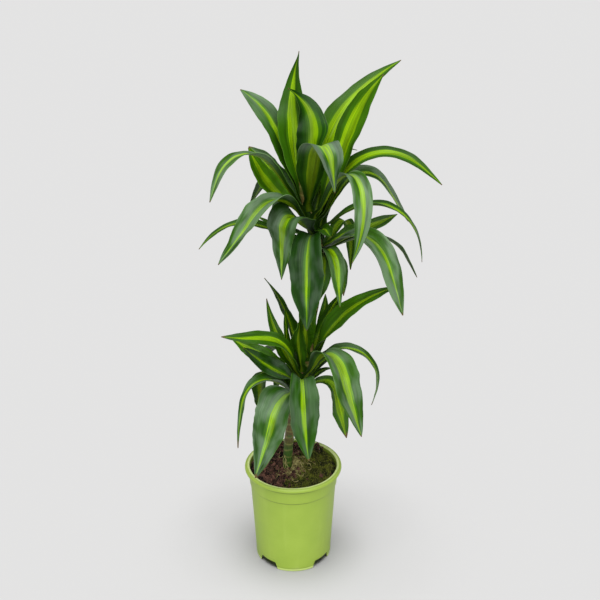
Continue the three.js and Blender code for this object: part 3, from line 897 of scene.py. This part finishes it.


# A row for each leaf: where it leaves the stem, its pitch there and at the tip, where it bends and over how
# long a reach, its size, how it swerves and rolls, where it is widest and how it tapers. Then its looks:
# the width of the stripe, the dry tip, the painted sheen and how light the margins are
leafColumns = ("height", "turn", "rise", "fall", "bend", "reach", "length", "width", "swerve", "roll",
               "widest", "taper", "stripe", "dry", "sheen", "tone")
upperLeaves = [
    (0.644, 56, 81, 18, 0.8, 0.52, 0.19, 0.058, 176, -45, 0.42, 1.8, 0.32, 0.01, 0.0, 0.12),
    (0.639, 122, 65, 78, 0.32, 0.33, 0.24, 0.054, -112, 4, 0.46, 1.4, 0.34, 0.02, 0.0, 0.5),
    (0.61, 0, 72, 50, 0.75, 0.25, 0.25, 0.046, 0, 46, 0.6, 2.0, 0.5, 0.02, 0.0, 0.72),
    (0.632, 133, 62, 24, 0.7, 0.36, 0.227, 0.044, 18, -14, 0.6, 3.0, 0.2, 0.02, 0.9, 0.4),
    (0.636, 54, 70, 32, 0.46, 0.5, 0.286, 0.05, -60, 38, 0.45, 1.5, 0.4, 0.02, 0.0, 0.75),
    (0.638, -82, 62, -80, 0.62, 0.2, 0.212, 0.054, 48, 0, 0.5, 1.9, 0.38, 0.01, 0.9, 0.2),
    (0.622, 180, 36, 66, 0.44, 0.42, 0.142, 0.042, -12, -32, 0.5, 2.0, 0.34, 0.02, 0.0, 1.0),
    (0.614, 146, 48, 36, 0.7, 0.34, 0.154, 0.038, 10, -30, 0.6, 2.4, 0.12, 0.05, 0.9, 0.4),
    (0.63, -158, 55, -66, 0.58, 0.3, 0.236, 0.034, 20, 0, 0.64, 1.8, 0.26, 0.02, 0.8, 0.6),
    (0.608, -2, 64, -38, 0.53, 0.36, 0.264, 0.034, -28, 26, 0.45, 1.6, 0.42, 0.02, 0.05, 0.5),
    (0.618, 56, 62, -10, 0.72, 0.2, 0.15, 0.028, -40, 0, 0.6, 3.0, 0.3, 0.02, 0.0, 0.5),
    (0.606, 8, 58, -56, 0.46, 0.22, 0.226, 0.036, -2, 20, 0.6, 2.6, 0.2, 0.02, 1.0, 0.5),
    (0.619, -43, 56, -60, 0.42, 0.25, 0.266, 0.03, -110, 0, 0.58, 2.0, 0.26, 0.02, 0.85, 0.5),
    (0.609, -138, 47, -46, 0.36, 0.25, 0.22, 0.046, -16, 0, 0.6, 2.0, 0.2, 0.02, 0.9, 0.5),
    (0.606, 96, 58, 10, 0.55, 0.4, 0.25, 0.036, 12, 0, 0.46, 2.0, 0.25, 0.03, 0.2, 0.5),
    (0.598, -127, 34, -86, 0.4, 0.12, 0.168, 0.06, 0, -12, 0.36, 1.2, 0.22, 0.02, 0.6, 0.3),
    (0.592, -102, 20, -88, 0.2, 0.18, 0.19, 0.058, 2, 0, 0.45, 1.8, 0.09, 0.01, 0.35, 0.15),
    (0.585, 147, 6, 16, 0.5, 0.36, 0.112, 0.018, 0, 0, 0.46, 2.0, 0.16, 0.05, 0.2, 0.6),
    (0.598, -8, 40, -84, 0.51, 0.48, 0.23, 0.03, 0, 0, 0.72, 2.2, 0.34, 0.03, 0.1, 0.4),
    (0.582, 76, 44, -40, 0.55, 0.35, 0.27, 0.038, -10, 0, 0.46, 2.0, 0.22, 0.03, 0.3, 0.5),
    (0.572, 20, 16, 20, 0.6, 0.4, 0.136, 0.034, 0, 20, 0.5, 2.0, 0.4, 0.01, 0.1, 0.7),
    (0.575, 178, 19, -47, 0.63, 0.3, 0.202, 0.028, 10, -5, 0.6, 1.6, 0.3, 0.02, 0.2, 0.5),
    (0.57, 112, 36, -50, 0.5, 0.35, 0.24, 0.034, 10, 0, 0.46, 2.0, 0.22, 0.03, 0.3, 0.5),
    (0.568, -42, 32, -68, 0.41, 0.28, 0.232, 0.036, 0, 20, 0.56, 2.4, 0.16, 0.03, 0.9, 0.5),
    (0.565, 20, 14, -60, 0.48, 0.36, 0.209, 0.032, -4, 0, 0.5, 1.6, 0.26, 0.04, 0.1, 0.4),
    (0.566, -70, 20, -80, 0.36, 0.28, 0.134, 0.028, 10, 4, 0.46, 1.6, 0.36, 0.02, 0.4, 0.6),
    (0.56, -88, 12, -70, 0.24, 0.2, 0.104, 0.038, -60, 0, 0.5, 1.8, 0.45, 0.02, 0.2, 0.6),
    (0.552, -54, 24, -90, 0.4, 0.24, 0.106, 0.014, 0, 0, 0.56, 2.4, 0.24, 0.12, 0.3, 0.6),
    (0.594, 124, 46, -50, 0.5, 0.32, 0.235, 0.036, 8, 0, 0.46, 2.0, 0.24, 0.03, 0.3, 0.5),
    (0.554, 92, 26, -66, 0.45, 0.3, 0.215, 0.036, -6, 0, 0.5, 2.0, 0.2, 0.04, 0.3, 0.5),
    (0.56, 60, 30, -88, 0.45, 0.25, 0.19, 0.028, 0, 0, 0.46, 1.8, 0.44, 0.03, 0.0, 0.8),
    (0.594, -66, 38, -20, 0.5, 0.3, 0.054, 0.024, 0, 20, 0.5, 2.0, 0.14, 0.04, 0.1, 0.6),
]
lowerLeaves = [
    (0.395, -105, 76, 82, 0.55, 0.32, 0.074, 0.028, -24, 8, 0.6, 3.0, 0.24, 0.02, 0.0, 0.8),
    (0.394, 170, 78, 84, 0.5, 0.4, 0.054, 0.016, 0, 0, 0.46, 2.0, 0.25, 0.02, 0.0, 0.7),
    (0.368, -122, 74, 83, 0.55, 0.4, 0.106, 0.026, 132, -4, 0.46, 1.4, 0.2, 0.03, 0.0, 0.7),
    (0.383, 86, 67, 92, 0.36, 0.5, 0.106, 0.03, -10, 8, 0.7, 2.6, 0.45, 0.01, 0.0, 1.0),
    (0.362, 125, 66, 42, 0.62, 0.42, 0.167, 0.032, 28, 20, 0.46, 1.4, 0.2, 0.05, 0.0, 0.5),
    (0.389, -25, 59, 16, 0.64, 0.5, 0.203, 0.042, 24, 42, 0.42, 1.2, 0.22, 0.05, 0.05, 0.7),
    (0.372, 34, 67, 50, 0.55, 0.3, 0.136, 0.026, 0, 8, 0.5, 2.0, 0.3, 0.03, 0.6, 0.6),
    (0.358, 160, 58, 88, 0.3, 0.32, 0.115, 0.018, -38, 0, 0.46, 1.2, 0.2, 0.02, 0.2, 0.6),
    (0.351, -143, 70, 10, 0.41, 0.3, 0.186, 0.03, -28, -40, 0.5, 1.8, 0.34, 0.05, 0.1, 0.6),
    (0.356, -9, 58, -106, 0.46, 0.48, 0.214, 0.026, -20, 0, 0.46, 1.6, 0.2, 0.08, 0.5, 0.6),
    (0.348, 151, 58, 66, 0.6, 0.4, 0.143, 0.032, -42, -30, 0.36, 0.9, 0.24, 0.08, 0.1, 0.6),
    (0.352, -54, 52, -63, 0.38, 0.19, 0.233, 0.054, 4, -3, 0.58, 2.0, 0.3, 0.02, 0.7, 0.5),
    (0.336, -90, 40, -67, 0.33, 0.16, 0.196, 0.05, 26, -6, 0.62, 1.8, 0.12, 0.02, 0.34, 0.28),
    (0.342, -173, 32, 44, 0.48, 0.4, 0.112, 0.036, 2, -44, 0.46, 1.8, 0.16, 0.02, 0.6, 0.2),
    (0.34, 120, 38, -56, 0.46, 0.35, 0.16, 0.034, 8, 0, 0.46, 2.0, 0.2, 0.04, 0.3, 0.5),
    (0.336, 51, 24, -60, 0.46, 0.34, 0.175, 0.028, -4, 5, 0.46, 2.0, 0.2, 0.04, 0.3, 0.5),
    (0.33, -118, 12, -58, 0.28, 0.24, 0.186, 0.07, -13, 0, 0.44, 1.7, 0.15, 0.06, 0.75, 0.3),
    (0.335, 164, 35, 28, 0.52, 0.4, 0.135, 0.04, -2, -28, 0.46, 1.8, 0.4, 0.03, 0.0, 0.8),
    (0.332, 7, 17, -76, 0.22, 0.14, 0.152, 0.034, -36, 50, 0.6, 1.6, 0.45, 0.1, 0.1, 0.6),
    (0.321, -165, 38, -75, 0.35, 0.27, 0.194, 0.038, 83, -2, 0.3, 0.45, 0.22, 0.1, 0.7, 0.4),
    (0.329, 44, 23, -16, 0.61, 0.35, 0.072, 0.016, 3, 0, 0.46, 2.0, 0.16, 0.04, 0.2, 0.5),
    (0.316, 142, 24, -82, 0.42, 0.16, 0.152, 0.044, 0, 0, 0.5, 2.0, 0.42, 0.03, 0.0, 0.8),
    (0.328, 112, 15, -73, 0.42, 0.28, 0.159, 0.024, 14, 0, 0.46, 2.0, 0.2, 0.05, 0.3, 0.5),
    (0.351, 42, 62, 88, 0.66, 0.45, 0.142, 0.024, 42, 26, 0.5, 2.0, 0.3, 0.03, 0.0, 0.8),
]
blade = {
    "stations": 12, "along": 72, "across": 16, "thickness": 0.0008, "gap": 0.0003, "footWidth": 0.011,
    "tipWidth": 0.0012, "fullFrom": 0.75, "foldAtFoot": 14, "foldAtNeck": 34, "foldAtTip": 9,
    "neck": 0.16, "flatFrom": 0.8, "turned": 0.35, "wave": 0.035, "waves": 2.6, "waveShift": 1.7,
    "clasp": 0.10, "claspAngle": 105, "crown": 0.45,
    # noise over the blade: strength, how fine along and across it, layer
    "uneven": (0.11, 6, 3, 0), "ragged": (0.05, 21, 4, 1), "loose": (0.08, 9, 5, 7),
    "ripple": (0.016, 14, 1.2, 3), "claspDrop": 0.004, "claspSag": 0.002, "claspRoom": 0.0006,
    "dryUneven": 0.3, "dryWaves": 9, "smoothAngle": 70, "frontTurns": (-130, -50),
    "sheenFrom": (radians(-60), radians(-15)),
}


def halfWidth(leaf, part):
    widest = leaf["widest"]
    if part < widest:
        return lerp(blade["footWidth"], leaf["width"], ease(part, 0, blade["fullFrom"] * widest)) / 2
    rest = (part - widest) / (1 - widest)
    return lerp(blade["tipWidth"], leaf["width"], 1 - rest ** leaf["taper"]) / 2


def foldAngle(part):
    if part < blade["neck"]:
        return radians(lerp(blade["foldAtFoot"], blade["foldAtNeck"], part / blade["neck"]))
    flatness = ease(part, blade["neck"], blade["flatFrom"])
    return radians(lerp(blade["foldAtNeck"], blade["foldAtTip"], flatness))


# Direction along the rib, to the right of it and up from the face, a part of the way along a leaf
def leafAxes(leaf, part):
    fallen = ease(part, leaf["bend"] - leaf["reach"], leaf["bend"] + leaf["reach"])
    pitch = radians(lerp(leaf["rise"], leaf["fall"], fallen))
    heading = radians(leaf["turn"] + leaf["swerve"] * part * part)
    level = cos(pitch)
    along = Vector((level * cos(heading), level * sin(heading), sin(pitch)))
    side = Vector((sin(heading), -cos(heading), 0))
    side = Matrix.Rotation(radians(leaf["roll"] * ease(part, 0, blade["turned"])), 3, along) @ side
    return along, side, side.cross(along)


def leafStations(plan, leaf):
    out = plan["radius"] + blade["gap"] + blade["thickness"] / 2 * sin(radians(leaf["rise"]))
    stations = [stemCentre(plan, leaf["height"]) + out * outward(radians(leaf["turn"]))]
    for k in range(blade["stations"]):
        along = leafAxes(leaf, k / blade["stations"])[0]
        stations.append(stations[-1] + along * leaf["length"] / blade["stations"])
    return stations


def addLeaf(name, plan, leaf, number, materials):
    stations = leafStations(plan, leaf)
    turn, width = radians(leaf["turn"]), leaf["width"]
    chance = random.Random(name)
    start = Vector([chance.uniform(0, 50) for _ in range(3)])
    parts = [k / blade["along"] for k in range(blade["along"] + 1)]
    axes = [leafAxes(leaf, part) for part in parts]
    centres = [alongPoints(stations, part) for part in parts]

    def unevenness(kind, along, across):
        strength, alongScale, acrossScale, layer = blade[kind]
        return strength * noise.noise(start + Vector((along * alongScale, across * acrossScale, layer)))

    def place(u, v):
        k = round(v * blade["along"])
        centre = centres[k]
        side, face = axes[k][1:]
        across = 2 * u - 1
        spread = abs(across)
        sign = 1 if across > 0 else -1
        half = halfWidth(leaf, v) * (1 + unevenness("uneven", v, sign) + unevenness("ragged", v, sign))
        fold = foldAngle(v)
        phase = 2 * pi * blade["waves"] * v + number * blade["waveShift"] + sign
        wave = blade["wave"] * sin(phase) + unevenness("loose", v, sign)
        keel = spread * (1 + blade["crown"] - blade["crown"] * spread)
        lift = half * sin(fold) * keel + width * sin(pi * v) * wave * spread ** 2
        lift += width * unevenness("ripple", v, across)
        point = centre + side * (across * half * cos(fold)) + face * lift

        # the foot clasps the stem
        clasped = 1 - ease(v, 0, blade["clasp"])
        if clasped > 0:
            low = centre.z - blade["claspDrop"] * (1 - v / blade["clasp"]) - blade["claspSag"] * spread
            bearing = turn - across * radians(blade["claspAngle"])
            radius = plan["radius"] + blade["gap"] + blade["claspRoom"] * (1 - 0.5 * spread)
            wrapped = stemCentre(plan, low) + radius * outward(bearing)
            point = point.lerp(Vector((wrapped.x, wrapped.y, low)), clasped)
        return point

    piece, spots = bendGrid(name, blade["across"], blade["along"], place)
    raggedDry = [1 + blade["dryUneven"] * sin(u * blade["dryWaves"] + number) for u, v in spots]
    # the painted sheen grows where the blade falls
    flatness = [ease(-asin(along.z), *blade["sheenFrom"]) for along, side, face in axes]
    values = {
        "dry": [ease(v, 1 - leaf["dry"] * ragged, 1) for ragged, (u, v) in zip(raggedDry, spots)],
        "stripe": [leaf["stripe"]] * len(spots),
        "tone": [leaf["tone"]] * len(spots),
        "sheen": [leaf["sheen"] * flatness[round(v * blade["along"])] for u, v in spots],
        "seed": [chance.random()] * len(spots),
    }
    for key, column in values.items():
        setAttribute(piece, key, column)
    for material in materials:
        piece.data.materials.append(material)
    middle = piece.data.polygons[blade["across"] * blade["along"] // 2]
    if middle.normal.dot(axes[blade["along"] // 2][2]) < 0:
        editAll(piece)
        bpy.ops.mesh.flip_normals()
        bpy.ops.object.mode_set(mode="OBJECT")
    applyModifier(piece, "SOLIDIFY", thickness=blade["thickness"], offset=0, material_offset=1,
                  material_offset_rim=0)
    smooth(piece, blade["smoothAngle"])
    return piece


leafColours = {
    "Rib": srgb(124, 164, 20), "Edge": srgb(96, 136, 48), "Withered": srgb(98, 82, 48),
    # the last colour is added as painted sheen
    "SheenTint": (0.102, 0.122, 0.104, 1),
}
leafFaces = {
    "leafFace": {
        "colours": {"Margin": srgb(6, 50, 2), "Inner": srgb(68, 116, 4), "Middle": srgb(148, 188, 6)},
        "roughness": (0.3, 0.7, 0.35, 0.47), "shine": 0.14, "bump": 0.0003,
    },
    "leafBack": {
        "colours": {"Margin": srgb(12, 48, 2), "Inner": srgb(54, 94, 5), "Middle": srgb(118, 144, 8)},
        "roughness": (0.3, 0.7, 0.45, 0.57), "shine": 0.08, "bump": 0.0005,
    },
}
leafLook = {
    # grain in the leaf's own shares: how fine across and along it, start, detail
    "streaks": (20, 1.3, 1.0, 2.0), "hairlines": (52, 1.0, 5.0, 2.0), "drift": (0.0, 2.2, 9.0, 1.0),
    "patches": (4.6, 2.6, 3.0, 2.0), "sheenPatches": (2.8, 4.2, 7.0, 2.0), "seedSpread": 37.0,
    "driftReach": 0.12, "streakReach": 0.22,
    # ramps: from, to, what they start with and end with
    "footStripe": (0.0, 0.3, 0.8, 1.0), "tipStripe": (0.55, 1.0, 1.0, 0.5), "stripeEdge": (0.86, 1.06),
    "innerReach": (1.5, 0.2), "innerShare": 0.9, "stray": (0.54, 0.72, 0.0, 0.5), "toneShare": 0.85,
    "brokenStripe": (0.3, 0.6, 1.0, 0.45), "rib": (0.012, 0.04, 0.4, 0.0),
    "edge": (0.955, 0.995, 0.0, 0.4), "shade": (0.34, 0.66, 0.68, 1.2),
    # these ramps also paint a sheen on the arching faces and shade at the leaf's foot
    "footShade": (0.02, 0.3, 0.5, 1.0), "sheenRamp": (0.36, 0.62, 0.04, 1.25),
    "sheenLines": (0.3, 0.7, 0.8, 1.15), "sheenOffStripe": 0.75, "brownReach": 0.25, "brown": (0.25, 0.6),
    "brownFrom": (0.0, 0.1), "ribRelief": 1.5, "gloss": 45, "dryRoughness": 0.8, "glossRelief": 0.6,
    "bump": 0.5,
}


# Stripes, veins and a dry tip in the leaf's own shares across and along it
def leafPattern():
    number, colour = "NodeSocketFloat", "NodeSocketColor"
    labels = ("Across", "Along", "Stripe", "Seed", "Dry", "Sheen", "Tone")
    inputs = [(label, number) for label in labels]
    inputs += [(label, colour) for label in ("Margin", "Inner", "Middle", "Rib", "Edge", "Withered", "SheenTint")]
    outputs = [("Color", colour), ("Veins", number), ("Dryness", number)]
    tree, given, result = newGroup("stripedLeaf", inputs, outputs)
    across = centred(given["Across"], 1.0)
    offCentre = calc("ABSOLUTE", across)
    shifted = times(given["Seed"], leafLook["seedSpread"])

    def lines(kind):
        fineAcross, fineAlong, start, detail = leafLook[kind]
        x = calc("MULTIPLY_ADD", given["Across"], fineAcross, shifted)
        y = calc("MULTIPLY_ADD", given["Along"], fineAlong, start)
        vector = addNode(tree, "CombineXYZ", {0: x, 1: y, 2: shifted}).outputs[0]
        return grain(vector, 1.0, detail)

    def ramp(value, kind):
        return rampUp(value, *leafLook[kind])

    # how far a spot is from the middle of the stripe, which drifts and has a streaky edge
    streaks, hairlines = lines("streaks"), lines("hairlines")
    away = calc("ADD", across, centred(lines("drift"), leafLook["driftReach"]))
    away = calc("ADD", calc("ABSOLUTE", away), centred(streaks, leafLook["streakReach"]))
    narrowing = times(ramp(given["Along"], "footStripe"), ramp(given["Along"], "tipStripe"))
    reach = times(given["Stripe"], narrowing)
    low, high = [times(reach, share) for share in leafLook["stripeEdge"]]
    middle = rampUp(away, low, high, 1.0, 0.0)
    middle = times(middle, ramp(hairlines, "brokenStripe"))
    wide = calc("MULTIPLY_ADD", reach, *leafLook["innerReach"])
    inner = rampUp(away, reach, wide, leafLook["innerShare"], 0.0)
    inner = calc("MAXIMUM", inner, ramp(hairlines, "stray"))
    inner = calc("MAXIMUM", inner, times(given["Tone"], leafLook["toneShare"]))
    rib = ramp(offCentre, "rib")
    base = blend(inner, given["Margin"], given["Inner"])
    base = blend(middle, base, given["Middle"])
    base = blend(rib, base, given["Rib"])
    base = blend(ramp(offCentre, "edge"), base, given["Edge"])
    shade = times(ramp(lines("patches"), "shade"), ramp(given["Along"], "footShade"))
    shaded = addNode(tree, "CombineXYZ", {0: shade, 1: shade, 2: shade}).outputs[0]
    base = blend(1.0, base, shaded, "MULTIPLY")
    # a painted sheen on the faces that arch over: broad patches, thinned in fine lines and over the stripe
    sheeny = times(ramp(lines("sheenPatches"), "sheenRamp"), ramp(hairlines, "sheenLines"))
    sheeny = times(sheeny, calc("MULTIPLY_ADD", middle, -leafLook["sheenOffStripe"], 1.0))
    base = blend(times(sheeny, given["Sheen"]), base, given["SheenTint"], "ADD")
    brown = calc("ADD", given["Dry"], centred(streaks, leafLook["brownReach"]))
    brown = times(ramp(brown, "brown"), ramp(given["Dry"], "brownFrom"))
    base = blend(brown, base, given["Withered"])
    tree.links.new(base, result.inputs["Color"])
    tree.links.new(calc("ADD", hairlines, times(rib, leafLook["ribRelief"])), result.inputs["Veins"])
    tree.links.new(brown, result.inputs["Dryness"])
    return tree


def leafMaterial(name, pattern):
    plan = leafFaces[name]
    material, tree, shader = newMaterial(name)
    share = addNode(tree, "UVMap", uv_map="UVMap").outputs[0]
    parts = addNode(tree, "SeparateXYZ", {0: share}).outputs
    inputs = {"Across": parts["X"], "Along": parts["Y"], **plan["colours"], **leafColours}
    for key in ("stripe", "seed", "dry", "sheen", "tone"):
        inputs[key.capitalize()] = attribute(tree, key)
    outputs = addNode(tree, "Group", inputs, node_tree=pattern).outputs
    uneven = grain(objectPlace(tree), leafLook["gloss"], 3.0)
    gloss = rampUp(uneven, *plan["roughness"])
    dryGloss = times(outputs["Dryness"], leafLook["dryRoughness"])
    setShader(shader, outputs["Color"], calc("MAXIMUM", gloss, dryGloss), plan["shine"])
    height = calc("ADD", outputs["Veins"], times(uneven, leafLook["glossRelief"]))
    addBump(shader, height, leafLook["bump"], plan["bump"])
    return material


# The pieces come back in one list for each rosette
def addLeaves():
    pattern = leafPattern()
    materials = [leafMaterial(name, pattern) for name in leafFaces]
    rosettes = [("upper", stemPlans["tall"], upperLeaves), ("lower", stemPlans["short"], lowerLeaves)]
    pieces = {}
    for rosette, plan, rows in rosettes:
        pieces[rosette] = []
        for k, row in enumerate(rows):
            label = f"{k + 1:02d}"
            piece = addLeaf(f"{rosette}Leaf{label}", plan, dict(zip(leafColumns, row)), k, materials)
            finishPiece(piece, (f"{rosette}_leaf_{label}",))
            pieces[rosette].append(piece)
        print(rosette, "rosette:", len(rows), "leaves")
    return pieces


# The leaves of the lower rosette that don't hang at the front
def sideLeaves(pieces):
    left, right = blade["frontTurns"]
    turns = [row[leafColumns.index("turn")] for row in lowerLeaves]
    return [piece for piece, turn in zip(pieces, turns) if not left < turn < right]


addCamera()
stem = stemMaterial()
for name, plan in stemPlans.items():
    addStem(f"{name}Stem", plan, stem)
print("stems")
leaves = addLeaves()
potPiece = addPot(potMaterial())
print("pot")
addStudio([potPiece, *sideLeaves(leaves["lower"])])
addGround()
print("soil, moss and roots")
